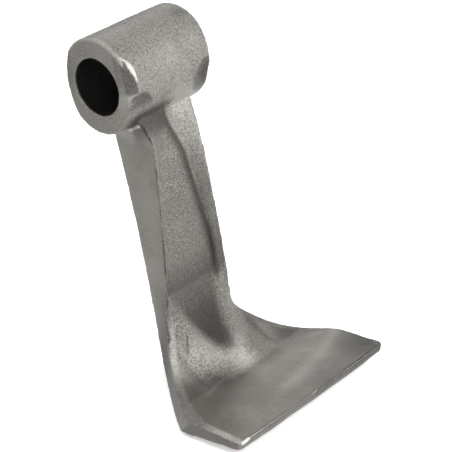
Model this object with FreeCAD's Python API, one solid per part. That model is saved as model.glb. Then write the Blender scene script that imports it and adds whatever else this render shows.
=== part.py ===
import FreeCAD, Part
import math
import os

V = FreeCAD.Vector

# Frame: origin in the middle of the eye on the bore axis. X runs along the bore,
# +Z is up along the shank and the cutting edge lies to the front, towards -Y.
# Fronts, backs, reaches and drops are distances from the bore axis.

# overall
blade_width = 97.2
blade_reach = 79.2
blade_drop = 133.4

# eye: reach of its four sides, and of its corners along the diagonals
bore_diameter = 25.0
eye_length = 48.0
eye_top = 21.6
eye_bottom = 20.8
eye_front = 20.2
eye_back = 17.2
eye_upper_back = 19.9
eye_lower_back = 19.7
eye_lower_front = 19.9
eye_upper_front = 21.9
eye_blend_radius = 4.0

# trimmed facets at the front of the two ends of the eye: left is -X, right is +X
left_facet_length = 5.0
left_facet_depth = 2.6
left_facet_tilt = 4.0
right_facet_length = 3.6
right_facet_depth = 1.0
right_facet_tilt = -22.0

# neck, where the shank runs up into the eye
neck_root_drop = 10.0
neck_root_front = 11.6
neck_root_back = 9.5
neck_root_half_width = 17.0
neck_drop = 27.0
neck_front = 18.0
neck_back = 8.0
neck_half_width = 14.2

# shank; a negative back lies in front of the bore axis
shank_mid_front = 18.7
shank_mid_back = -2.2
foot_rise = 17.1
foot_front = 16.7
foot_back = -9.2
foot_back_drop = 3.2
foot_half_width = 21.1
draft_angle = 7.0
front_dish = 0.6
back_crown = 4.0

# flare, a curved wing from the foot of the shank to the shoulder of the blade
flare_hollow = 5.6
flare_thickness = 8.2
flare_setback = 7.0
shoulder_inset = 1.0
shoulder_rise = 1.9
shoulder_thickness = 9.2
shoulder_setback = 9.4
shoulder_dish = 2.4
shoulder_crown = 2.2

# blade, with straight sides from the shoulder to the blunt cutting edge
blade_length = 27.5
edge_thickness = 4.4
edge_setback = 1.4
edge_crown = 0.6
tip_radius = 2.2

# gusset between the front of the shank and the top of the blade
gusset_rise = 14.3
gusset_hollow = 1.9
gusset_toe_gap = 8.7
gusset_toe_sink = 2.8
gusset_inset = 2.0
gusset_mid_spread = 0.1
gusset_toe_spread = 0.38
gusset_root = 6.0
gusset_root_width = 0.7

# channel down the front of the shank, ending as a scoop in the gusset
channel_top_drop = 15.0
channel_neck_depth = 5.0
channel_foot_depth = 3.6
channel_land = 0.8
channel_root_radius = 2.0
channel_reach = 14.0
root_top_half_width = 3.0
root_foot_half_width = 15.6
scoop_rise = 20.3
scoop_corner_rise = 8.5
scoop_corner_front = 16.0
scoop_mid_half_width = 7.6
scoop_toe_gap = 4.5
scoop_toe_rise = 1.6
scoop_toe_half_width = 0.8
scoop_wall_angle = 48.0
scoop_toe_angle = 34.0

# how many sections the swept surfaces run through
stations = [0.0, 0.25, 0.5, 0.75, 1.0]
channel_stations = 8
scoop_stations = 5

# how far the cutters at the eye reach, in half lengths of the eye
cutter_reach = 1.2

foot_z = foot_rise - blade_drop
scoop_z = foot_z + scoop_rise
shoulder = V(blade_width / 2 - shoulder_inset, blade_length - blade_reach, shoulder_rise - blade_drop)
edge_top = V(blade_width / 2, -blade_reach, -blade_drop)


def between(start, end, t):
    """Value on the straight way from start to end at t from 0 to 1."""
    return start * (1 - t) + end * t


def quad(start, middle, end, t):
    """Value of the parabola through start, middle and end at t from 0 to 1."""
    return start * ((1 - t) * (1 - 2 * t)) + middle * (4 * t * (1 - t)) + end * (t * (2 * t - 1))


def mirrored(point):
    return V(-point.x, point.y, point.z)


def sagged(start, end, sag):
    """Middle of the line from start to end, moved down and back by sag."""
    along = V(0, end.y - start.y, end.z - start.z)
    along.normalize()
    return (start + end) * 0.5 + V(0, -along.z, along.y) * sag


def drafted(front, setback, thickness):
    """Back corner that belongs to a front corner, drawn in by the draft."""
    depth = math.hypot(setback, thickness)
    inward = depth * math.tan(math.radians(draft_angle))
    return V(front.x - inward, front.y + setback, front.z - thickness)


def section(front, back, dish, crown):
    """Four-sided section: dished front edge, straight sides, crowned back."""
    inward = V(0, back.y - front.y, back.z - front.z)
    inward.normalize()
    front_middle = V(0, front.y, front.z) + inward * dish
    back_middle = V(0, back.y, back.z) + inward * crown
    edges = [
        Part.Arc(mirrored(front), front_middle, front).toShape(),
        Part.makeLine(front, back),
        Part.Arc(back, back_middle, mirrored(back)).toShape(),
        Part.makeLine(mirrored(back), mirrored(front)),
    ]
    return Part.Wire(edges)


def crest_at(z):
    """Front corner of the shank at height z."""
    t = (z + neck_drop) / (foot_z + neck_drop)
    half = between(neck_half_width, foot_half_width, t)
    return V(half, -quad(neck_front, shank_mid_front, foot_front, t), z)


def shank_corners(t):
    """Front and back corner of the shank, t = 0 at the neck and 1 at the foot."""
    front = crest_at(between(-neck_drop, foot_z, t))
    back = quad(neck_back, shank_mid_back, foot_back, t)
    return front, drafted(front, back - front.y, 0) - V(0, 0, foot_back_drop * t * t)


def shank_section(t):
    front, back = shank_corners(t)
    return section(front, back, front_dish, back_crown)


foot, foot_heel = shank_corners(1.0)
shoulder_heel = drafted(shoulder, shoulder_setback, shoulder_thickness)
flare_mid = sagged(foot, shoulder, flare_hollow)
flare_heel = drafted(flare_mid, flare_setback, flare_thickness)


def flare_section(t):
    """Section of the flare: t = 0 at the foot of the shank, 1 at the shoulder."""
    front = quad(foot, flare_mid, shoulder, t)
    back = quad(foot_heel, flare_heel, shoulder_heel, t)
    dish = between(front_dish, shoulder_dish, t)
    crown = between(back_crown, shoulder_crown, t)
    return section(front, back, dish, crown)


gusset_top = V(0, foot.y, foot_z + gusset_rise)
gusset_toe = V(0, shoulder.y + gusset_toe_gap, shoulder.z - gusset_toe_sink)
gusset_nose = sagged(gusset_top, gusset_toe, gusset_hollow)
inset = V(-gusset_inset, gusset_inset / 2, 0)
side_top = V(foot.x, foot.y, gusset_top.z) + inset
side_mid = quad(foot, flare_mid, shoulder, gusset_mid_spread) + inset
side_toe = quad(foot, flare_mid, shoulder, gusset_toe_spread) + inset


def gusset_section(t):
    """Level section of the gusset, a bow from side to side, t = 0 at its top."""
    nose = quad(gusset_top, gusset_nose, gusset_toe, t)
    side = quad(side_top, side_mid, side_toe, t)
    side.z = nose.z
    heel = V(side.x * gusset_root_width, side.y + gusset_root, side.z)
    edges = [
        Part.Arc(mirrored(side), nose, side).toShape(),
        Part.makeLine(side, heel),
        Part.makeLine(heel, mirrored(heel)),
        Part.makeLine(mirrored(heel), mirrored(side)),
    ]
    return Part.Wire(edges)


def groove_section(floor, outward, half, slope):
    """Flat floor, rounded roots and sloping walls, open towards outward."""
    r = channel_root_radius
    run = r * math.tan(slope / 2)
    root_in = (half - run, 0.0)
    root_mid = (half - run + r * math.sin(slope / 2), r - r * math.cos(slope / 2))
    root_out = (half + run * math.cos(slope), run * math.sin(slope))
    rim = (half + channel_reach / math.tan(slope), channel_reach)

    def at(pair, side):
        across, height = pair
        return floor + V(side * across, outward.y * height, outward.z * height)

    edges = [
        Part.makeLine(at(root_in, -1), at(root_in, 1)),
        Part.Arc(at(root_in, 1), at(root_mid, 1), at(root_out, 1)).toShape(),
        Part.makeLine(at(root_out, 1), at(rim, 1)),
        Part.makeLine(at(rim, 1), at(rim, -1)),
        Part.makeLine(at(rim, -1), at(root_out, -1)),
        Part.Arc(at(root_out, -1), at(root_mid, -1), at(root_in, -1)).toShape(),
    ]
    return Part.Wire(edges)


def channel_section(t):
    """Groove in the shank, t = 0 at its top end and 1 where the scoop begins."""
    crest = crest_at(between(-channel_top_drop, scoop_z, t))
    depth = between(channel_neck_depth, channel_foot_depth, t)
    half = between(root_top_half_width, root_foot_half_width, t * (2 - t))
    slope = math.atan2(depth, crest.x - channel_land - half)
    return groove_section(V(0, crest.y + depth, crest.z), V(0, -1, 0), half, slope)


scoop_start = V(0, crest_at(scoop_z).y + channel_foot_depth, scoop_z)
scoop_corner = V(0, -scoop_corner_front, shoulder.z + scoop_corner_rise)
scoop_toe = V(0, shoulder.y + scoop_toe_gap, shoulder.z + scoop_toe_rise)


def scoop_section(t):
    """Groove in the gusset, bending from the channel towards the blade."""
    floor = between(between(scoop_start, scoop_corner, t), between(scoop_corner, scoop_toe, t), t)
    along = between(scoop_corner - scoop_start, scoop_toe - scoop_corner, t)
    outward = V(0, along.z, -along.y)
    outward.normalize()
    half = quad(root_foot_half_width, scoop_mid_half_width, scoop_toe_half_width, t)
    slope = math.radians(between(scoop_wall_angle, scoop_toe_angle, t))
    return groove_section(floor, outward, half, slope)


# eye: four bowed sides with rounded corners between them
diagonal = math.sqrt(0.5)
corners = [
    V(0, eye_upper_back, eye_upper_back) * diagonal,
    V(0, eye_lower_back, -eye_lower_back) * diagonal,
    V(0, -eye_lower_front, -eye_lower_front) * diagonal,
    V(0, -eye_upper_front, eye_upper_front) * diagonal,
]
bows = [V(0, eye_back, 0), V(0, 0, -eye_bottom), V(0, -eye_front, 0), V(0, 0, eye_top)]
outline = [Part.Arc(corners[i - 1], bows[i - 1], corners[i]).toShape() for i in range(4)]
eye_face = Part.Face(Part.Wire(outline))
eye_face.translate(V(-eye_length / 2, 0, 0))
eye = eye_face.extrude(V(eye_length, 0, 0))
long_edges = [edge for edge in eye.Edges if edge.BoundBox.XLength > eye_length / 2]
eye = eye.makeFillet(eye_blend_radius, long_edges)

# neck, shank, flare, blade and gusset
neck_root = V(neck_root_half_width, -neck_root_front, -neck_root_drop)
neck_heel = drafted(neck_root, neck_root_front + neck_root_back, 0)
neck_top = section(neck_root, neck_heel, front_dish, back_crown)
neck = Part.makeLoft([neck_top, shank_section(0.0)], True, True)
shank = Part.makeLoft([shank_section(t) for t in stations], True, False)
flare = Part.makeLoft([flare_section(t) for t in stations], True, False)
edge_heel = drafted(edge_top, edge_setback, edge_thickness)
blade_end = section(edge_top, edge_heel, front_dish, edge_crown)
blade = Part.makeLoft([flare_section(1.0), blade_end], True, True)
gusset = Part.makeLoft([gusset_section(t) for t in stations], True, False)
body = neck.fuse([shank, flare, blade]).fuse(gusset)

# channel and scoop in one sweep of the groove section
grooves = [channel_section(i / channel_stations) for i in range(channel_stations)]
grooves += [scoop_section(i / scoop_stations) for i in range(scoop_stations + 1)]
body = body.cut(Part.makeLoft(grooves, True, False, False, 3))

# eye joined on and bored through
body = body.fuse(eye)
end_x = eye_length / 2
bore_start = V(-cutter_reach * end_x, 0, 0)
bore = Part.makeCylinder(bore_diameter / 2, cutter_reach * eye_length, bore_start, V(1, 0, 0))
body = body.cut(bore)

# facets at the ends of the eye
facets = [
    (-end_x, -left_facet_length, left_facet_depth, left_facet_tilt),
    (end_x, right_facet_length, right_facet_depth, right_facet_tilt),
]
for x, length, depth, tilt in facets:
    profile = [
        V(x - length, -eye_front, -eye_top),
        V(x, depth - eye_front, -eye_top),
        V(x * cutter_reach, -2 * eye_front, -eye_top),
        V(x - length, -2 * eye_front, -eye_top),
    ]
    wedge = Part.Face(Part.makePolygon(profile + profile[:1])).extrude(V(0, 0, 2 * eye_top))
    wedge.rotate(V(0, 0, 0), V(1, 0, 0), -tilt)
    body = body.cut(wedge)

# rounded ends of the cutting edge
blade_edges = [edge for edge in body.Edges if edge.BoundBox.YMax < shoulder.y]
tips = [edge for edge in blade_edges if edge.Length < 2 * edge_thickness]
body = body.makeFillet(tip_radius, tips)

os.makedirs("parts", exist_ok=True)
body.exportStep("parts/hammer_blade.step")
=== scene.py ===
import math

import bmesh
import bpy
import numpy as np
from bpy.props import FloatProperty, FloatVectorProperty, IntProperty, PointerProperty
from mathutils import Matrix, Vector


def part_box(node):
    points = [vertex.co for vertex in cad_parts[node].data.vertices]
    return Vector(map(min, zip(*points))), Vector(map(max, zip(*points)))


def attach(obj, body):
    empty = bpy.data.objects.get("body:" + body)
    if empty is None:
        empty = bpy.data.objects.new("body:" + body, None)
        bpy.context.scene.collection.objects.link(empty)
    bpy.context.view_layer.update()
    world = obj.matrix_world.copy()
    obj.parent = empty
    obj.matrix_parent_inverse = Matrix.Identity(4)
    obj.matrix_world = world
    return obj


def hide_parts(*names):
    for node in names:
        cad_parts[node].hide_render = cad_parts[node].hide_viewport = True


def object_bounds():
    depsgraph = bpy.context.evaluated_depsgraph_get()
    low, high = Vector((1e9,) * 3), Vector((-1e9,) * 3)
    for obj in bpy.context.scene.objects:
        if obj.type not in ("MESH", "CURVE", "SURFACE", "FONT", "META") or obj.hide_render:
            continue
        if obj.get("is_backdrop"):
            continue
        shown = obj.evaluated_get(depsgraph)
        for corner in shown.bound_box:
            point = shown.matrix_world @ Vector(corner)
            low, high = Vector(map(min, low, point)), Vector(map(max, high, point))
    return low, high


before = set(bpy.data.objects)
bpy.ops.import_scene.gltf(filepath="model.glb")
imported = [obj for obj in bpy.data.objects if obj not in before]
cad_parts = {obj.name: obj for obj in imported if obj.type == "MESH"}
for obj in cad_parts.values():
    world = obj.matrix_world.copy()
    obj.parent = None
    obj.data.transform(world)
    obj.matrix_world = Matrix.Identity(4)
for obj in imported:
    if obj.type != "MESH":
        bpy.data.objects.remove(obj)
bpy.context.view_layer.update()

bl_info = {
    "name": "Mulcher hammer",
    "version": (1, 0, 0),
    "blender": (4, 5, 0),
    "location": "View3D > Sidebar > Hammer",
    "description": "Forged skin, steel finish and studio for the mulcher hammer",
    "category": "Object",
}

NODE = "hammer_blade"
BODY = "root"
MM = 0.001


# Settings


class HammerForging(bpy.types.PropertyGroup):
    skin_pitch: FloatProperty(
        name="Skin pitch", description="Size of the faces of the forged skin",
        default=0.00068, unit="LENGTH")
    edge_wear_passes: IntProperty(
        name="Edge wear", description="Smoothing passes that round every edge", default=3)
    neck_passes: IntProperty(
        name="Neck blend", description="Smoothing passes where the shank meets the eye",
        default=154)
    foot_passes: IntProperty(
        name="Foot blend", description="Smoothing passes around the scoop and its lips",
        default=224)
    lump_height: FloatProperty(
        name="Lump height", description="Height of the slow lumps of the forged surface",
        default=0.00045, unit="LENGTH")
    scale_height: FloatProperty(
        name="Scale height", description="Height of the fine pits left by forging scale",
        default=0.0003, unit="LENGTH")
    bevel_width: FloatProperty(
        name="Bevel width", description="Width of the bevel along the sides of the flare and blade",
        default=0.0042, unit="LENGTH")
    flash_height: FloatProperty(
        name="Flash height", description="Height of the flash ridge left along the top of the eye",
        default=0.0008, unit="LENGTH")


class HammerFinish(bpy.types.PropertyGroup):
    steel_colour: FloatVectorProperty(
        name="Steel", description="Colour of the forged steel", subtype="COLOR",
        default=(0.225, 0.215, 0.196))
    pale_colour: FloatVectorProperty(
        name="Pale steel", description="Colour of the lighter clouds and worn edges",
        subtype="COLOR", default=(0.42, 0.405, 0.375))
    # the dark colour paints the shade in hollows, the channel, the scoop and under the eye, and
    # also darkens the fine pits of the grain
    dark_colour: FloatVectorProperty(
        name="Dark scale", description="Colour of the scale left in pits and hollows",
        subtype="COLOR", default=(0.05, 0.047, 0.042))
    # near-black painted shade inside the bore and along the parting groove
    deep_shade_colour: FloatVectorProperty(
        name="Soot", description="Colour inside the bore and the parting line", subtype="COLOR",
        default=(0.012, 0.011, 0.010))
    # worn steel colour is also the colour of the painted highlights on the bevels, the crease and
    # the right wall
    worn_and_highlight_colour: FloatVectorProperty(
        name="Worn steel", description="Colour of the specks and of the polished bevels and rims",
        subtype="COLOR", default=(0.58, 0.565, 0.53))
    # bare steel colour also paints the highlights on the facet rim and the burr
    bare_and_highlight_colour: FloatVectorProperty(
        name="Bare steel", description="Colour of freshly trimmed steel", subtype="COLOR",
        default=(0.75, 0.74, 0.71))
    roughness: FloatProperty(
        name="Roughness", description="Roughness of the forged surface", default=0.36)


class HammerStudio(bpy.types.PropertyGroup):
    floor_colour: FloatVectorProperty(
        name="Floor", description="Colour of the studio floor", subtype="COLOR",
        default=(0.8, 0.8, 0.8))
    floor_glow: FloatProperty(
        name="Floor glow", description="Light added to the floor where the camera sees it",
        default=0.5)
    mirrored_white: FloatProperty(
        name="Mirrored white", description="Share of the white background that the steel mirrors",
        default=0.1)
    sky_strength: FloatProperty(
        name="Sky strength", description="Strength of the even studio light", default=0.24)
    key_power: FloatProperty(
        name="Key lamp", description="Power of the raised lamp on the front left",
        default=18.5, unit="POWER")
    front_power: FloatProperty(
        name="Front lamp", description="Power of the lamp on the front right",
        default=15.5, unit="POWER")
    right_power: FloatProperty(
        name="Right lamp", description="Power of the raised lamp on the right",
        default=4.5, unit="POWER")
    back_power: FloatProperty(
        name="Back lamp", description="Power of the lamp behind, on the right",
        default=2.2, unit="POWER")
    left_power: FloatProperty(
        name="Left lamp", description="Power of the raised lamp behind, a little to the left",
        default=4.0, unit="POWER")


# Helpers

WEIGHT_STEPS = 20
WELD_DISTANCE = 1e-6  # m
FAR = 1e3  # mm, for points with no curve near them


def evaluated_mesh(obj):
    """Mesh of the object with its modifiers applied."""
    graph = bpy.context.evaluated_depsgraph_get()
    graph.update()
    return bpy.data.meshes.new_from_object(obj.evaluated_get(graph))


def bake_modifiers(obj):
    """Replaces the object's mesh by the result of its modifiers."""
    old = obj.data
    obj.data = evaluated_mesh(obj)
    obj.modifiers.clear()
    bpy.data.meshes.remove(old)


def points_mm(mesh):
    co = np.empty(len(mesh.vertices) * 3, np.float32)
    mesh.vertices.foreach_get("co", co)
    return co.reshape(-1, 3).astype(float) / MM


def normals_of(mesh):
    no = np.empty(len(mesh.vertices) * 3, np.float32)
    mesh.vertex_normals.foreach_get("vector", no)
    return no.reshape(-1, 3).astype(float)


def set_points(mesh, co):
    """Moves the vertices to the given places, in mm."""
    mesh.vertices.foreach_set("co", (co * MM).astype(np.float32).ravel())
    mesh.update()


def ramp(values, start, end):
    """Smooth step from 0 at start to 1 at end."""
    t = np.clip((values - start) / (end - start), 0.0, 1.0)
    return t * t * (3 - 2 * t)


def weight_group(obj, name, weights):
    """Vertex group with one weight per vertex, rounded to a few steps."""
    group = obj.vertex_groups.new(name=name)
    steps = np.round(np.clip(weights, 0, 1) * WEIGHT_STEPS).astype(int)
    for step in range(1, WEIGHT_STEPS + 1):
        chosen = np.nonzero(steps == step)[0]
        if len(chosen):
            group.add(chosen.tolist(), step / WEIGHT_STEPS, "REPLACE")


def smooth_pass(obj, name, passes, group, factor=0.5):
    """Smoothing that works inside one vertex group."""
    mod = obj.modifiers.new(name, "SMOOTH")
    mod.factor = factor
    mod.iterations = passes
    mod.vertex_group = group


def noise_texture(name, size, depth):
    texture = bpy.data.textures.new(name, "CLOUDS")
    texture.noise_scale = size
    texture.noise_depth = depth
    return texture


def displace_pass(obj, name, texture, height, group, middle):
    mod = obj.modifiers.new(name, "DISPLACE")
    mod.texture = texture
    mod.texture_coords = "LOCAL"
    mod.strength = height
    mod.mid_level = middle
    mod.vertex_group = group


def neighbour_mean(mesh, values):
    """Mean of a value over each vertex's neighbours."""
    edges = np.empty(len(mesh.edges) * 2, np.int32)
    mesh.edges.foreach_get("vertices", edges)
    a, b = edges.reshape(-1, 2).T
    count = len(mesh.vertices)
    degree = np.bincount(a, minlength=count) + np.bincount(b, minlength=count)
    total = np.empty_like(values)
    for i in range(values.shape[1]):
        total[:, i] = np.bincount(a, values[b, i], count) + np.bincount(b, values[a, i], count)
    return total / np.maximum(degree, 1)[:, None]


def spread_mean(mesh, values, passes):
    """Mean over the neighbours, taken again and again to reach further."""
    for _ in range(passes):
        values = neighbour_mean(mesh, values)
    return values


# Forms of the hammer, in mm

NECK_Z, FOOT_Z = -27.0, -116.3
NECK_HALF_WIDTH, SHANK_SPREAD = 14.2, 6.9
SHANK_FRONTS = (18.0, 18.7, 16.7)
CHANNEL_TOP_Z, CHANNEL_FOOT_Z = -15.0, -96.0
ROOT_HALF_WIDTH, ROOT_SPREAD = 3.0, 12.6
EYE_RADIUS = 20.2
FACE_START, FACE_FULL = 23.2, 23.9  # where the end faces of the eye begin and are reached
EDGE_REACH = 14.0
FLARE_START = np.array((21.1, -16.7, -116.3))
FLARE_MIDDLE = np.array((34.35, -32.0, -129.1))
SHOULDER = np.array((47.6, -51.7, -131.5))
BLADE_TIP = np.array((48.6, -79.2, -133.4))
SCOOP_CURVE = np.array(((-14.2, -96.0), (-16.0, -123.0), (-47.2, -129.9)))
SCOOP_POINTS = 60


def parabola(a, b, c, t):
    """Parabola through a at 0, b at a half and c at 1."""
    return a * ((1 - t) * (1 - 2 * t)) + b * (4 * t * (1 - t)) + c * (t * (2 * t - 1))


def crest(z):
    """Half width and y of the front corners of the shank at height z."""
    t = (z - NECK_Z) / (FOOT_Z - NECK_Z)
    return NECK_HALF_WIDTH + SHANK_SPREAD * t, -parabola(*SHANK_FRONTS, t)


def root_half_width(z):
    """Half width of the floor of the channel at height z."""
    t = np.clip((z - CHANNEL_TOP_Z) / (CHANNEL_FOOT_Z - CHANNEL_TOP_Z), 0.0, 1.0)
    return ROOT_HALF_WIDTH + ROOT_SPREAD * t * (2 - t)


def crest_line(z_top, z_bottom, count):
    """Points down a front corner of the shank."""
    z = np.linspace(z_top, z_bottom, count)
    half, y = crest(z)
    return np.column_stack((half, y, z))


def outline_curve():
    """Upper edge of the side, from the shank down the flare to the tip of the blade."""
    t = np.linspace(0, 1, 25)[1:, None]
    flare = parabola(FLARE_START, FLARE_MIDDLE, SHOULDER, t)
    blade = SHOULDER + (BLADE_TIP - SHOULDER) * np.linspace(0, 1, 17)[1:, None]
    curve = np.vstack((crest_line(-98.0, FOOT_Z, 9), flare, blade))
    for _ in range(10):
        curve[1:-1] = (curve[:-2] + 2 * curve[1:-1] + curve[2:]) / 4
    return curve


def near_curve(co, curve, reach):
    """Distance to a curve of straight pieces, and how far along its length the nearest point is."""
    distance = np.full(len(co), FAR)
    place = np.zeros(len(co))
    near = np.all((co > curve.min(0) - reach) & (co < curve.max(0) + reach), axis=1)
    p = co[near]
    best = distance[near]
    where = place[near]
    for i in range(len(curve) - 1):
        step = curve[i + 1] - curve[i]
        t = np.clip((p - curve[i]) @ step / (step @ step), 0.0, 1.0)
        gap = np.linalg.norm(p - curve[i] - t[:, None] * step, axis=1)
        closer = gap < best
        best[closer] = gap[closer]
        where[closer] = (i + t[closer]) / (len(curve) - 1)
    distance[near] = best
    place[near] = where
    return distance, place


def edge_frame(local):
    """Distance to the upper edge of the side, place along it, and way inward and down from it."""
    curve = outline_curve()
    distance, place = near_curve(local, curve, EDGE_REACH)
    step = np.gradient(curve, axis=0)
    spot = place * (len(curve) - 1)
    low = np.minimum(spot.astype(int), len(curve) - 2)
    t = (spot - low)[:, None]
    at = curve[low] * (1 - t) + curve[low + 1] * t
    along = step[low] * (1 - t) + step[low + 1] * t
    along /= np.linalg.norm(along, axis=1)[:, None]
    across = np.array((-1.0, 0.0, 0.0)) + along * along[:, :1]
    across /= np.linalg.norm(across, axis=1)[:, None]
    down = np.cross(along, across)
    down *= np.where(down[:, 2:] > down[:, 1:2], -1.0, 1.0)
    gap = local - at
    return distance, place, across, down, (gap * across).sum(1), (gap * down).sum(1)


def folded(co):
    """The same points with the two sides of the hammer laid over each other."""
    return np.column_stack((np.abs(co[:, 0]), co[:, 1], co[:, 2]))


def scoop_floor(co):
    """Place along the floor of the scoop, 0 to 1, and height above that floor."""
    start, corner, toe = SCOOP_CURVE
    t = np.linspace(0, 1, SCOOP_POINTS)[:, None]
    curve = start * (1 - t) ** 2 + corner * (2 * t * (1 - t)) + toe * t ** 2
    gap = co[:, None, 1:] - curve[None]
    nearest = np.argmin((gap ** 2).sum(2), axis=1)
    along = np.gradient(curve, axis=0)
    along /= np.linalg.norm(along, axis=1)[:, None]
    outward = np.column_stack((along[:, 1], -along[:, 0]))
    height = (gap[np.arange(len(co)), nearest] * outward[nearest]).sum(1)
    return nearest / (SCOOP_POINTS - 1), height


# Hammer

BEVEL_BLEND_PASSES = 14
STRAY_ROUNDS, STRAY_GAP = 8, 0.24
BEND_PASSES, BROAD_PASSES, EASE_PASSES = 4, 42, 2


class OBJECT_OT_forge_hammer(bpy.types.Operator):
    """Builds the forged skin of the hammer over the CAD head"""

    bl_idname = "object.forge_hammer"
    bl_label = "Forge hammer"

    def execute(self, context):
        forging = context.scene.hammer_forging
        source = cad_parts[NODE]
        mesh = source.data.copy()
        mesh.materials.clear()
        bm = bmesh.new()
        bm.from_mesh(mesh)
        bmesh.ops.remove_doubles(bm, verts=bm.verts, dist=WELD_DISTANCE)
        bm.to_mesh(mesh)
        bm.free()
        hammer = bpy.data.objects.new("forged_hammer", mesh)
        context.scene.collection.objects.link(hammer)

        remesh = hammer.modifiers.new("Skin", "REMESH")
        remesh.mode = "VOXEL"
        remesh.voxel_size = forging.skin_pitch
        bake_modifiers(hammer)
        self.blend_hollows(hammer, forging)
        self.cut_bevels(hammer, forging)
        self.roughen(hammer, forging)
        self.add_marks(hammer, forging)
        self.keep_in_box(hammer)
        self.paint(hammer)
        for polygon in hammer.data.polygons:
            polygon.use_smooth = True
        hammer.data.materials.append(forged_steel(context.scene.hammer_finish))
        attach(hammer, BODY)
        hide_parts(NODE)
        return {"FINISHED"}

    def blend_hollows(self, hammer, forging):
        """Rounds the edges, and the hollows where the eye and the blade meet the shank."""
        co = points_mm(hammer.data)
        x, y, z = co.T
        radius = np.hypot(y, z)
        bore_wall = ramp(radius, 14.0, 13.0) * (np.abs(x) < 23.6)
        weight_group(hammer, "skin", 1 - bore_wall)
        under_eye = ramp(radius, 17.5, 19.5) * ramp(radius, 36.0, 25.0) * ramp(z, -8.0, -13.0)
        under_eye = under_eye * ramp(np.abs(x), 21.5, 18.5) * ramp(y, 2.0, -5.0)
        crest_gap, _ = near_curve(folded(co), SEAM_LINE, 8.0)
        under_eye = under_eye * ramp(crest_gap, 0.5, 5.0) * (1 - 0.7 * ramp(np.abs(x), 4.0, 8.0))
        weight_group(hammer, "under_eye", under_eye)
        foot = ramp(z, -93.0, -106.0) * ramp(y, -11.0, -14.5) * ramp(y, -62.0, -48.0)
        foot = foot * ramp(np.abs(x), 38.0, 27.0)
        rim = np.vstack((crest_line(-82.0, -97.0, 5), outline_curve()))
        side, _ = near_curve(folded(co), rim, 8.0)
        foot = foot * ramp(side, 0.8, 4.0)
        distance, _, _, _, inward, depth = edge_frame(folded(co))
        no = normals_of(hammer.data)
        side_face = ramp(inward, 4.5, 2.0) * ramp(depth, 0.3, 1.5) * (distance < EDGE_REACH)
        side_face = side_face * ramp(np.abs(no[:, 0]), 0.5, 0.75)
        facing = no @ np.array((0.0, -0.6, 0.8))
        foot = foot * (1 - side_face) * ramp(facing, -0.3, 0.0)
        weight_group(hammer, "foot", foot)
        smooth_pass(hammer, "Edge wear", forging.edge_wear_passes, "skin")
        smooth_pass(hammer, "Neck blend", forging.neck_passes, "under_eye")
        smooth_pass(hammer, "Foot blend", forging.foot_passes, "foot")
        bake_modifiers(hammer)

    def cut_bevels(self, hammer, forging):
        """Bevels the upper edge of the sides, widening from the foot of the shank."""
        co = points_mm(hammer.data)
        sides = np.where(co[:, :1] < 0, -1.0, 1.0)
        local = folded(co)
        distance, place, across, down, inward, depth = edge_frame(local)
        width = forging.bevel_width / MM * ramp(place, 0.0, 0.4) * ramp(place, 1.15, 0.85)
        width *= 1 - 0.4 * ramp(place, 0.64, 0.8)
        width *= np.where(co[:, 0] < 0, 1.0, 0.6)
        near = np.nonzero((distance < 8.0) & (place > 0.02) & (width > 0.2))[0]
        a = width[near]
        b = 0.42 * a
        share = 1 - inward[near] / a - depth[near] / b
        size = np.hypot(a, b)
        push = np.clip(np.maximum(share, 0) * a * b / size, 0, b)
        way = (across[near] * b[:, None] + down[near] * a[:, None]) / size[:, None]
        moved = local[near] + way * push[:, None]
        moved[:, :1] *= sides[near]
        co[near] = moved
        set_points(hammer.data, co)
        hammer.vertex_groups.clear()
        soften = np.zeros(len(co))
        soften[near] = ramp(distance[near], 5.0, 3.0) * ramp(depth[near], 2.2, 1.0)
        weight_group(hammer, "bevel", soften)
        smooth_pass(hammer, "Bevel blend", BEVEL_BLEND_PASSES, "bevel")
        bake_modifiers(hammer)

    def roughen(self, hammer, forging):
        """Slow lumps and fine pits of the forged surface."""
        x, y, z = points_mm(hammer.data).T
        radius = np.hypot(y, z)
        faces = ramp(np.abs(x), FACE_START, FACE_FULL) * (radius < 24)
        skin = ramp(radius, 13.2, 14.2) * (1 - 0.75 * faces)
        grit = self.grit_at(points_mm(hammer.data), normals_of(hammer.data))
        hammer.vertex_groups.clear()
        weight_group(hammer, "rough", skin)
        weight_group(hammer, "gritty", skin * grit)
        lumps = noise_texture("Lumps", 0.011, 2)
        pits = noise_texture("Pits", 0.0019, 3)
        displace_pass(hammer, "Lumps", lumps, forging.lump_height, "rough", 0.55)
        displace_pass(hammer, "Pits", pits, forging.scale_height, "gritty", 0.55)
        bake_modifiers(hammer)
        hammer.vertex_groups.clear()

    def add_marks(self, hammer, forging):
        """Flash ridge on the eye, parting groove, burr, hammered patch and dents."""
        co = points_mm(hammer.data)
        no = normals_of(hammer.data)
        ridge, place = near_curve(co, FLASH_LINE, 3.0)
        grow = forging.flash_height / MM * ramp(place, 0.0, 0.8) * ramp(place, 1.2, 0.97)
        lift = grow * np.exp(-(ridge / 0.75) ** 2)
        seam, _ = near_curve(folded(co), SEAM_LINE, 3.0)
        lift -= 0.22 * np.exp(-(seam / 0.5) ** 2)
        burr, _ = near_curve(co, BURR_LINE, 3.0)
        lift += 0.45 * np.exp(-(burr / 0.55) ** 2)
        lift -= 0.4 * hammered_patch(co)
        for centre, size, height in DENTS:
            gap = np.linalg.norm(co - np.array(centre), axis=1)
            lift += height * np.exp(-(gap / size) ** 2)
        co = co + no * lift[:, None]
        # a vertex that stands out goes back between its neighbours
        for _ in range(STRAY_ROUNDS):
            mean = neighbour_mean(hammer.data, co)
            stray = np.linalg.norm(co - mean, axis=1) > STRAY_GAP
            co[stray] = mean[stray]
        set_points(hammer.data, co)

    def keep_in_box(self, hammer):
        """Holds the skin inside the box of the CAD head."""
        low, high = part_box(NODE)
        co = np.clip(points_mm(hammer.data), np.array(low) / MM, np.array(high) / MM)
        set_points(hammer.data, co)

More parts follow.
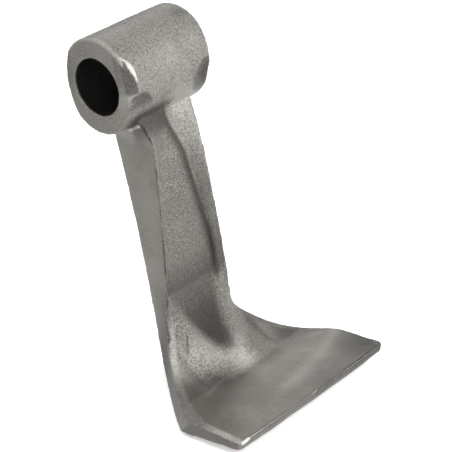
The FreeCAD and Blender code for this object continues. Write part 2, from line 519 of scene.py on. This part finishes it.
    def paint(self, hammer):
        """Stores wear, grit, the marks of the forging, painted shade and painted highlights at each
        vertex.
        """
        mesh = hammer.data
        co = points_mm(mesh)
        no = normals_of(mesh)
        x, y, z = co.T
        bend = ((co - spread_mean(mesh, co, BEND_PASSES)) * no).sum(1)[:, None]
        bend = spread_mean(mesh, bend, EASE_PASSES)
        broad = ((co - spread_mean(mesh, co, BROAD_PASSES)) * no).sum(1)[:, None]
        broad = spread_mean(mesh, broad, EASE_PASSES)
        side = folded(co)
        seam, _ = near_curve(side, SEAM_LINE, 4.0)
        worn = ramp(bend[:, 0], 0.08, 0.32)
        edge = ramp(y, -72.0, -76.0) * ramp(z, -128.0, -132.0)
        crook = ramp(z, -127.0, -130.0) * ramp(y, -56.0, -50.0) * ramp(np.abs(x), 38.0, 32.0)
        quiet = np.maximum.reduce((ramp(seam, 4.0, 1.5), 0.9 * edge, crook * (no[:, 2] > 0.3)))
        # the inside of the bore is painted near black as its shade
        bore = ramp(np.hypot(y, z), 13.1, 12.8) * ramp(np.abs(x), FACE_FULL, FACE_START)
        store(mesh, "worn", worn * (1 - quiet))
        # painted shadow line along the parting groove
        store(mesh, "seam", ramp(seam, 0.85, 0.3))
        store(mesh, "bore", bore)
        shade = patches_at(co)
        # the scale mask holds painted shade: the shade layers below and the dark patches
        scale = np.clip(self.painted_shade_at(co, no) + np.maximum(-shade, 0), 0, 1)
        # the patches above 0 paint highlights
        pale = np.maximum(shade, 0) * (1 - scale) + self.pale_at(co, no)
        pale = np.clip(pale, 0, 1)
        store(mesh, "pale", pale)
        store(mesh, "scale", scale * (1 - pale))
        # painted shade in concave hollows, found from the broad curvature
        store(mesh, "hollow", ramp(-broad[:, 0], 0.12, 1.1) * (1 - pale))
        store(mesh, "grit", self.grit_at(co, no))
        store(mesh, "bright", self.bright_at(co))

    def painted_shade_at(self, co, no):
        """Painted shade in the channel, the scoop, at the foot of the right wall, under the eye, on
        the facets and patches of the eye, down the lower sides and on the end face of the blade.
        """
        x, y, z = co.T
        half, front = crest(z)
        root = root_half_width(z)
        floor = ramp(np.abs(x), root + 1.6, root - 0.6) * ramp(y, front + 0.8, front + 2.6)
        floor *= ramp(y, 1.0, -6.0) * ramp(no[:, 1], 0.1, -0.3)
        down = ramp(z, -78.0, -102.0)
        channel = floor * (0.05 + 0.75 * down) * (z > -97)
        channel = channel * ramp(z, -10.0, -16.0)
        foot = np.nonzero((z < -94) & (z > -132) & (y < -10) & (y > -50) & (np.abs(x) < 20))[0]
        along, height = scoop_floor(co[foot])
        width = parabola(15.6, 7.6, 0.8, along)
        pocket = ramp(np.abs(x[foot]), width + 2.5, width - 4.0) * ramp(height, 7.0, 3.0)
        pocket *= ramp(height, -5.0, -3.0)
        pocket *= (0.55 + 0.4 * ramp(along, 0.0, 0.4)) * ramp(along, 0.82, 0.62)
        scoop = np.zeros(len(co))
        scoop[foot] = pocket
        spread = np.where(wall_side(co) < 0, 2.9, 1.1)
        wall = np.exp(-(wall_foot_gap(co) / spread) ** 2) * ramp(no[:, 1], 0.1, -0.3)
        reach = np.hypot(y, z)
        under = ramp(reach, 33.0, 23.5) * ramp(z, -9.0, -14.0) * ramp(y, -4.0, -9.0)
        under = under * ramp(x, -21.5, -17.0) * ramp(x, 5.0, -1.0)
        patch = hammered_patch(co)
        rim_x = np.interp(z, FACET_RIM[::-1, 2], FACET_RIM[::-1, 0])
        facet = ramp(x, rim_x + 0.1, rim_x - 0.7) * ramp(z, -2.5, 0.0) * ramp(z, 16.5, 15.0)
        facet = facet * (y < -12) * ramp(x, -24.1, -23.8)
        side = ramp(np.abs(x), half - 1.6, half - 0.5) * (np.abs(y) < 40) * (z < -24)
        side = side * ramp(z, -60.0, -112.0) * ramp(y, -60.0, -50.0)
        front = ramp(y, -77.6, -78.5) * (z < -132)
        band = ramp(np.abs(no[:, 0]), 0.65, 0.85) * ramp(z, -106.0, -118.0)
        # every layer here paints shade into the colour
        layers = (
            channel, scoop, 0.9 * wall, 0.85 * under, 0.75 * patch, 0.8 * facet, 0.3 * side,
            0.5 * front, 0.45 * band, 0.6 * far_patch(co),
        )
        return np.clip(np.maximum.reduce(layers), 0, 1)

    def pale_at(self, co, no):
        """Painted highlights on the bevels of the flare, the crease of the blade and the right
        wall; worn pale rim of the eye.
        """
        x, y, z = co.T
        edge, place = near_curve(folded(co), outline_curve(), 7.0)
        shine = ramp(place, 0.0, 0.15) * (1 - 0.85 * ramp(place, 0.2, 0.45))
        shine = np.maximum(shine, ramp(place, 0.68, 0.84) * ramp(place, 1.0, 0.96))
        bevel = ramp(edge, 3.8, 2.0) * shine
        bevel = bevel * ramp(np.abs(no[:, 0]), 0.93, 0.8) * (x < 0)
        crease, along = near_curve(co, CREASE_LINE, 12.0)
        crease = 0.3 * np.exp(-(crease / 3.2) ** 2) * ramp(along, 1.0, 0.6) * (no[:, 2] > 0.5)
        rim, _ = near_curve(co, FACE_RIM, 3.0)
        wall = ramp(wall_side(co), 0.6, 1.8) * ramp(z, -100.0, -60.0) * ramp(z, -12.0, -17.0)
        wall = wall * (0.2 + 0.35 * ramp(z, -62.0, -36.0)) * ramp(y, -8.0, -11.0)
        wall = wall * ramp(np.abs(no[:, 0]), 0.98, 0.9)
        return np.maximum.reduce((0.95 * bevel, crease, 0.9 * ramp(rim, 1.2, 0.4), wall))

    def grit_at(self, co, no):
        """How gritty the skin is: most in the channel, on the gusset and on the eye."""
        x, y, z = co.T
        side = ramp(np.abs(no[:, 0]), 0.75, 0.93)
        blade = ramp(y, -34.0, -46.0) * ramp(z, -122.0, -129.0)
        blade = np.maximum(blade, ramp(np.abs(x), 22.0, 30.0) * ramp(z, -118.0, -124.0))
        face = ramp(np.abs(x), 23.2, 23.8)
        edge, _ = near_curve(folded(co), outline_curve(), 7.0)
        plain = np.maximum(side * (1 - face), blade) * ramp(edge, 2.0, 4.0)
        grit = 1 - 0.75 * plain
        return grit * (1 - 0.2 * face)

    def bright_at(self, co):
        """Painted highlights on the rim of the trimmed facet and on the burr under the eye, and
        bare bright metal at the nicks.
        """
        rim, place = near_curve(co, FACET_RIM, 4.0)
        width = 0.2 + 0.7 * np.exp(-((place - 0.4) / 0.18) ** 2)
        ends = ramp(place, 0.0, 0.08) * ramp(place, 1.0, 0.6)
        bright = ramp(rim, width + 0.4, width - 0.2) * ends
        burr, _ = near_curve(co, BURR_LINE, 3.0)
        bright = np.maximum(bright, ramp(burr, 0.8, 0.3))
        nick, _ = near_curve(co, CORNER_NICK, 3.0)
        bright = np.maximum(bright, ramp(nick, 1.2, 0.6))
        return bright


SEAM_LINE = np.vstack((
    ((15.2, -14.6, -18.0), (14.9, -15.6, -20.5), (14.4, -17.0, -24.4)),
    crest_line(-27.0, -106.0, 22),
))
BURR_LINE = np.array((
    (-15.3, -12.6, -18.4), (-14.8, -10.2, -19.4), (-14.2, -7.4, -20.8), (-13.6, -4.8, -22.2),
))
FLASH_LINE = np.array([(x, 11.3, 18.4) for x in np.linspace(-22.0, 19.0, 8)])
FACET_RIM = np.array((
    (-23.9, -15.6, 15.4), (-21.6, -16.9, 13.2), (-20.4, -18.5, 10.3), (-19.6, -19.5, 6.6),
    (-19.1, -20.0, 3.4), (-19.0, -20.2, 0.6),
))
WALL_FOOT = np.array((  # x and z
    (-2.4, -13.5), (-0.6, -18.9), (1.1, -24.0), (3.4, -29.6), (5.2, -33.6), (6.9, -38.4),
    (9.1, -52.3), (11.5, -65.1), (14.1, -78.2), (15.0, -88.4), (15.4, -98.5),
))
CREASE_LINE = np.array((
    (46.4, -54.0, -131.7), (26.6, -60.5, -132.9), (9.6, -64.1, -133.5), (-4.9, -65.4, -133.6),
    (-15.5, -67.2, -133.5),
))
RIM_RADIUS = 21.2
RIM_TURNS = np.radians(np.linspace(-25.0, 62.0, 16))
FACE_RIM = np.column_stack((
    np.full(len(RIM_TURNS), -23.8), -RIM_RADIUS * np.sin(RIM_TURNS), RIM_RADIUS * np.cos(RIM_TURNS),
))
PATCHES = (  # x, y, z, reach, and shade: below 0 painted shade, above 0 painted highlight
    (44.0, -72.0, -133.4, 12.0, -0.75),
    (30.0, -76.5, -134.0, 9.0, -0.3),
    (12.0, -77.5, -134.0, 9.0, -0.25),
    (24.0, -25.0, -125.0, 8.0, -0.3),
    (36.0, -40.0, -131.5, 12.0, -0.3),
    (19.3, -8.9, 20.1, 3.2, -0.45),
    (23.0, -17.0, -6.0, 6.0, -0.6),
    (16.7, -17.9, 11.5, 4.0, 0.3),
    (-24.0, -16.8, -2.0, 7.0, 0.5),
    (-24.0, 17.0, 5.0, 9.0, -0.4),
    (3.0, -36.0, -128.0, 4.5, 1.0),
    (6.5, -31.5, -124.5, 3.5, 0.6),
    (5.0, -15.5, -12.0, 6.0, 0.6),
    (14.0, -15.5, -13.0, 5.0, 0.5),
    (-15.0, -25.5, -121.5, 8.0, 0.75),
    (-10.0, -30.5, -126.0, 6.0, 0.5),
    (-3.5, -34.0, -127.5, 5.0, 0.7),
    (-26.0, -34.0, -130.0, 6.0, -0.35),
    (-18.0, -41.0, -133.0, 8.0, -0.3),
    (-17.5, -36.5, -131.7, 5.0, -0.45),
    (-12.0, -38.5, -132.3, 5.0, -0.4),
    (-6.0, -40.5, -132.5, 4.5, -0.35),
    (-2.0, -18.5, 8.0, 13.0, 0.4),
)
CORNER_NICK = np.array(((-46.2, -78.9, -134.4), (-43.2, -79.1, -134.2)))
DENTS = (  # place, size and height, below 0 for a dent and above 0 for a lump
    ((-0.6, -20.3, -0.2), 1.3, -0.9),
    ((0.9, -20.3, -1.6), 0.9, 0.5),
    ((-4.6, -2.0, 21.6), 0.9, -0.4),
    ((-6.4, -4.6, 21.4), 0.8, -0.3),
    ((-47.9, -78.8, -133.9), 1.0, -0.7),
    ((1.5, -79.2, -134.6), 1.1, -0.6),
    ((-30.0, -79.2, -134.4), 0.7, -0.5),
    ((12.1, -14.6, -54.9), 0.7, 0.45),
    ((14.0, -17.0, -57.5), 0.8, 0.4),
    ((14.1, -15.3, -64.6), 0.8, 0.45),
    ((15.1, -18.2, -51.6), 0.8, 0.4),
)


def wall_foot_gap(co):
    """Distance, seen from the front, to the line where the right wall of the channel starts."""
    flat = np.column_stack((co[:, 0], np.zeros(len(co)), co[:, 2]))
    line = np.column_stack((WALL_FOOT[:, 0], np.zeros(len(WALL_FOOT)), WALL_FOOT[:, 1]))
    gap, _ = near_curve(flat, line, 9.0)
    return np.where(co[:, 1] < -4.0, gap, FAR)


def wall_side(co):
    """How far to the right of the line where the right wall starts, in mm."""
    return co[:, 0] - np.interp(co[:, 2], WALL_FOOT[::-1, 1], WALL_FOOT[::-1, 0])


def far_patch(co):
    """Patch of painted shade at the lower front of the far end of the eye."""
    x, y, z = co.T
    down = EYE_RADIUS * np.arctan2(-z, -y)
    oval = ((x - 22.0) / 7.5) ** 2 + ((down - 8.5) / 9.5) ** 2
    return ramp(oval, 1.1, 0.85) * ramp(np.hypot(y, z), 17.0, 18.0) * (y < 0)


def hammered_patch(co):
    """Rounded patch at the lower front of the eye, beside the trimmed facet, sunk a little and
    darkened with painted shade.
    """
    x, y, z = co.T
    down = EYE_RADIUS * np.arctan2(-z, -y)
    oval = ((x + 18.2) / 7.2) ** 2 + ((np.minimum(down, 10.0) - 10.0) / 8.4) ** 2
    fade = ramp(down, 11.0, 5.5) * ramp(np.hypot(y, z), 18.0, 19.0) * (y < 0)
    return ramp(oval, 1.12, 0.9) * fade


def patches_at(co):
    """Sum of the soft patches of painted shade and painted highlight."""
    shade = np.zeros(len(co))
    for *centre, reach, amount in PATCHES:
        gap = np.linalg.norm(co - np.array(centre), axis=1)
        shade += amount * np.exp(-(gap / reach) ** 2)
    return shade


def store(mesh, name, values):
    """Keeps one value per vertex for the material to read."""
    layer = mesh.attributes.new(name, "FLOAT", "POINT")
    layer.data.foreach_set("value", values.astype(np.float32))


# Finish


class Nodes:
    """Short way to add and link the nodes of one material."""

    def __init__(self, material):
        material.use_nodes = True
        self.tree = material.node_tree
        self.tree.nodes.clear()

    def add(self, kind, **values):
        node = self.tree.nodes.new(kind)
        for key, value in values.items():
            setattr(node, key, value)
        return node

    def link(self, source, target):
        self.tree.links.new(source, target)

    def attribute(self, name):
        return self.add("ShaderNodeAttribute", attribute_name=name).outputs["Fac"]

    def noise(self, vector, size, detail=3.0, roughness=0.55):
        node = self.add("ShaderNodeTexNoise")
        node.inputs["Scale"].default_value = 1.0 / size
        node.inputs["Detail"].default_value = detail
        node.inputs["Roughness"].default_value = roughness
        self.link(vector, node.inputs["Vector"])
        return node.outputs["Fac"]

    def span(self, value, low, high, to_low=0.0, to_high=1.0):
        node = self.add("ShaderNodeMapRange", interpolation_type="SMOOTHSTEP")
        node.inputs["From Min"].default_value = low
        node.inputs["From Max"].default_value = high
        node.inputs["To Min"].default_value = to_low
        node.inputs["To Max"].default_value = to_high
        self.link(value, node.inputs["Value"])
        return node.outputs["Result"]

    def math(self, operation, a, b):
        node = self.add("ShaderNodeMath", operation=operation)
        for socket, value in zip(node.inputs, (a, b)):
            if isinstance(value, (int, float)):
                socket.default_value = value
            else:
                self.link(value, socket)
        return node.outputs[0]

    def mix(self, factor, a, b):
        node = self.add("ShaderNodeMix", data_type="RGBA")
        self.link(factor, node.inputs["Factor"])
        # sockets 6 and 7 take the colours, and 2 gives the mixed one
        for socket, value in ((node.inputs[6], a), (node.inputs[7], b)):
            if isinstance(value, tuple):
                socket.default_value = value
            else:
                self.link(value, socket)
        return node.outputs[2]

    def bump(self, height, strength, distance, normal=None):
        node = self.add("ShaderNodeBump")
        if isinstance(strength, float):
            node.inputs["Strength"].default_value = strength
        else:
            self.link(strength, node.inputs["Strength"])
        node.inputs["Distance"].default_value = distance
        self.link(height, node.inputs["Height"])
        if normal:
            self.link(normal, node.inputs["Normal"])
        return node.outputs["Normal"]


def rgba(colour):
    return (*colour, 1.0)


CLOUD_SIZE, GRAIN_SIZE, SPECK_SIZE, SWELL_SIZE = 0.016, 0.0010, 0.0005, 0.0035


def forged_steel(finish):
    """Shot-blasted forged steel: speckled grey, paler on worn edges, with painted shade in hollows,
    the channel, the scoop and the bore, and painted highlights on bevels, rims and ridges.
    """
    material = bpy.data.materials.new("forged_steel")
    nodes = Nodes(material)
    place = nodes.add("ShaderNodeTexCoord").outputs["Object"]
    steel = rgba(finish.steel_colour)
    pale = rgba(finish.pale_colour)
    dark = rgba(finish.dark_colour)
    deep_shade = rgba(finish.deep_shade_colour)
    worn = rgba(finish.worn_and_highlight_colour)

    cloud = nodes.noise(place, CLOUD_SIZE, 3.0)
    grain = nodes.noise(place, GRAIN_SIZE, 3.0, 0.75)
    speck = nodes.noise(place, SPECK_SIZE, 2.0, 0.6)
    grit = nodes.attribute("grit")

    colour = nodes.mix(nodes.span(cloud, 0.35, 0.68, 0.0, 0.25), steel, pale)
    # the pale mask paints highlights on the bevels, the crease and the right wall, and a worn rim
    # on the eye
    colour = nodes.mix(nodes.math("MULTIPLY", nodes.attribute("pale"), 0.8), colour, worn)
    pits = nodes.math("MULTIPLY", nodes.span(grain, 0.58, 0.34, 0.0, 0.5), grit)
    colour = nodes.mix(pits, colour, dark)
    points = nodes.math("MULTIPLY", nodes.span(speck, 0.46, 0.72, 0.0, 0.62), grit)
    colour = nodes.mix(points, colour, worn)
    # painted shade in the concave hollows
    colour = nodes.mix(nodes.math("MULTIPLY", nodes.attribute("hollow"), 0.45), colour, dark)
    colour = nodes.mix(nodes.math("MULTIPLY", nodes.attribute("worn"), 0.7), colour, pale)
    # painted shade in the channel, the scoop, under the eye, on the eye's facets and down the sides
    colour = nodes.mix(nodes.math("MULTIPLY", nodes.attribute("scale"), 0.9), colour, dark)
    # painted shadow along the parting groove
    colour = nodes.mix(nodes.math("MULTIPLY", nodes.attribute("seam"), 0.9), colour, deep_shade)
    # painted highlights on the facet rim and the burr, bare metal at the nick
    colour = nodes.mix(nodes.attribute("bright"), colour, rgba(finish.bare_and_highlight_colour))
    # painted shade inside the bore
    colour = nodes.mix(nodes.attribute("bore"), colour, deep_shade)

    relief = nodes.bump(nodes.noise(place, SWELL_SIZE, 3.0), 0.45, 0.0005)
    relief = nodes.bump(grain, grit, 0.00074, relief)
    relief = nodes.bump(speck, grit, 0.0004, relief)

    shader = nodes.add("ShaderNodeBsdfPrincipled")
    shader.inputs["Metallic"].default_value = 0.9
    nodes.link(colour, shader.inputs["Base Color"])
    nodes.link(
        nodes.span(grain, 0.3, 0.7, finish.roughness - 0.06, finish.roughness + 0.08),
        shader.inputs["Roughness"],
    )
    nodes.link(relief, shader.inputs["Normal"])
    output = nodes.add("ShaderNodeOutputMaterial")
    nodes.link(shader.outputs["BSDF"], output.inputs["Surface"])
    return material


# Studio


class OBJECT_OT_set_hammer_studio(bpy.types.Operator):
    """Places the floor, the light and the camera of the photograph"""

    bl_idname = "object.set_hammer_studio"
    bl_label = "Set studio"

    camera_at = Vector((-0.4861, -0.5228, 0.2454))
    camera_right = Vector((0.6588, -0.7421, -0.1234))
    camera_forward = Vector((0.6462, 0.6422, -0.4123))
    camera_lens = 142.57
    floor_reach = 3.0
    floor_gap = 0.0002
    lamp_distance = 1.4
    lamp_target = Vector((0.0, -0.02, -0.07))
    lamps = (  # name, degrees from the front toward the right, degrees up, size in m
        ("key", -38.0, 42.0, 0.4),
        ("front", 46.0, 20.0, 0.25),
        ("right", 62.0, 42.0, 0.5),
        ("back", 133.0, 25.0, 0.6),
        ("left", -170.0, 48.0, 0.5),
    )

    def execute(self, context):
        studio = context.scene.hammer_studio
        self.make_floor(context, studio)
        self.make_sky(context, studio)
        for name, azimuth, elevation, size in self.lamps:
            power = getattr(studio, name + "_power")
            if power > 0:
                self.make_lamp(context, name, azimuth, elevation, size, power)
        self.make_camera(context)
        context.scene.view_settings.view_transform = "Standard"
        return {"FINISHED"}

    def make_floor(self, context, studio):
        low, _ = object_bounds()
        bm = bmesh.new()
        bmesh.ops.create_grid(bm, x_segments=1, y_segments=1, size=self.floor_reach)
        bmesh.ops.translate(bm, verts=bm.verts, vec=(0, 0, low.z - self.floor_gap))
        mesh = bpy.data.meshes.new("studio_floor")
        bm.to_mesh(mesh)
        bm.free()
        floor = bpy.data.objects.new("studio_floor", mesh)
        context.scene.collection.objects.link(floor)
        mesh.materials.append(self.floor_paint(studio))
        floor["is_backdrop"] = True

    def floor_paint(self, studio):
        """Matt floor that glows where the camera sees it, and faintly in reflections."""
        material = bpy.data.materials.new("studio_floor")
        nodes = Nodes(material)
        paint = nodes.add("ShaderNodeBsdfDiffuse")
        paint.inputs["Color"].default_value = rgba(studio.floor_colour)
        glow = nodes.add("ShaderNodeEmission")
        rays = nodes.add("ShaderNodeLightPath")
        mirrored = nodes.math("MULTIPLY", rays.outputs["Is Glossy Ray"], studio.mirrored_white)
        seen = nodes.math("MAXIMUM", rays.outputs["Is Camera Ray"], mirrored)
        nodes.link(nodes.math("MULTIPLY", seen, studio.floor_glow), glow.inputs["Strength"])
        both = nodes.add("ShaderNodeAddShader")
        nodes.link(paint.outputs[0], both.inputs[0])
        nodes.link(glow.outputs[0], both.inputs[1])
        output = nodes.add("ShaderNodeOutputMaterial")
        nodes.link(both.outputs[0], output.inputs["Surface"])
        return material

    def make_sky(self, context, studio):
        world = bpy.data.worlds.new("studio_sky")
        nodes = Nodes(world)
        rays = nodes.add("ShaderNodeLightPath")
        even = nodes.add("ShaderNodeBackground")
        even.inputs["Strength"].default_value = studio.sky_strength
        white = nodes.add("ShaderNodeBackground")
        white.inputs["Color"].default_value = (1, 1, 1, 1)
        even.inputs["Color"].default_value = (1, 1, 1, 1)
        either = nodes.add("ShaderNodeMixShader")
        mirrored = nodes.math("MULTIPLY", rays.outputs["Is Glossy Ray"], studio.mirrored_white)
        seen = nodes.math("MAXIMUM", rays.outputs["Is Camera Ray"], mirrored)
        nodes.link(seen, either.inputs["Fac"])
        nodes.link(even.outputs[0], either.inputs[1])
        nodes.link(white.outputs[0], either.inputs[2])
        output = nodes.add("ShaderNodeOutputWorld")
        nodes.link(either.outputs[0], output.inputs["Surface"])
        context.scene.world = world

    def make_lamp(self, context, name, azimuth, elevation, size, power):
        light = bpy.data.lights.new(name, "AREA")
        light.shape = "SQUARE"
        light.size = size
        light.energy = power
        lamp = bpy.data.objects.new(name, light)
        context.scene.collection.objects.link(lamp)
        turn, rise = math.radians(azimuth), math.radians(elevation)
        level = math.cos(rise)
        way = Vector((math.sin(turn) * level, -math.cos(turn) * level, math.sin(rise)))
        lamp.location = self.lamp_target + way * self.lamp_distance
        lamp.rotation_euler = (-way).to_track_quat("-Z", "Y").to_euler()

    def make_camera(self, context):
        view = bpy.data.cameras.new("photo_view")
        view.sensor_width = 36.0
        view.lens = self.camera_lens
        view.clip_start, view.clip_end = 0.01, 20.0
        camera = bpy.data.objects.new("photo_view", view)
        context.scene.collection.objects.link(camera)
        back = -self.camera_forward.normalized()
        right = (self.camera_right - self.camera_right.dot(back) * back).normalized()
        up = back.cross(right)
        turn = Matrix((right, up, back)).transposed()
        camera.matrix_world = Matrix.Translation(self.camera_at) @ turn.to_4x4()
        context.scene.camera = camera


# Panel


class VIEW3D_PT_hammer(bpy.types.Panel):
    """Sizes, finish and studio of the hammer"""

    bl_label = "Mulcher hammer"
    bl_space_type = "VIEW_3D"
    bl_region_type = "UI"
    bl_category = "Hammer"

    def draw(self, context):
        layout = self.layout
        scene = context.scene
        for group, operator in (
            (scene.hammer_forging, OBJECT_OT_forge_hammer.bl_idname),
            (scene.hammer_finish, None),
            (scene.hammer_studio, OBJECT_OT_set_hammer_studio.bl_idname),
        ):
            box = layout.box()
            for name in group.__annotations__:
                box.prop(group, name)
            if operator:
                box.operator(operator)


CLASSES = (
    HammerForging,
    HammerFinish,
    HammerStudio,
    OBJECT_OT_forge_hammer,
    OBJECT_OT_set_hammer_studio,
    VIEW3D_PT_hammer,
)


def register():
    for cls in CLASSES:
        bpy.utils.register_class(cls)
    bpy.types.Scene.hammer_forging = PointerProperty(type=HammerForging)
    bpy.types.Scene.hammer_finish = PointerProperty(type=HammerFinish)
    bpy.types.Scene.hammer_studio = PointerProperty(type=HammerStudio)


def unregister():
    del bpy.types.Scene.hammer_studio
    del bpy.types.Scene.hammer_finish
    del bpy.types.Scene.hammer_forging
    for cls in reversed(CLASSES):
        bpy.utils.unregister_class(cls)


def main():
    register()
    bpy.ops.object.forge_hammer()
    bpy.ops.object.set_hammer_studio()


if __name__ == "__main__":
    main()
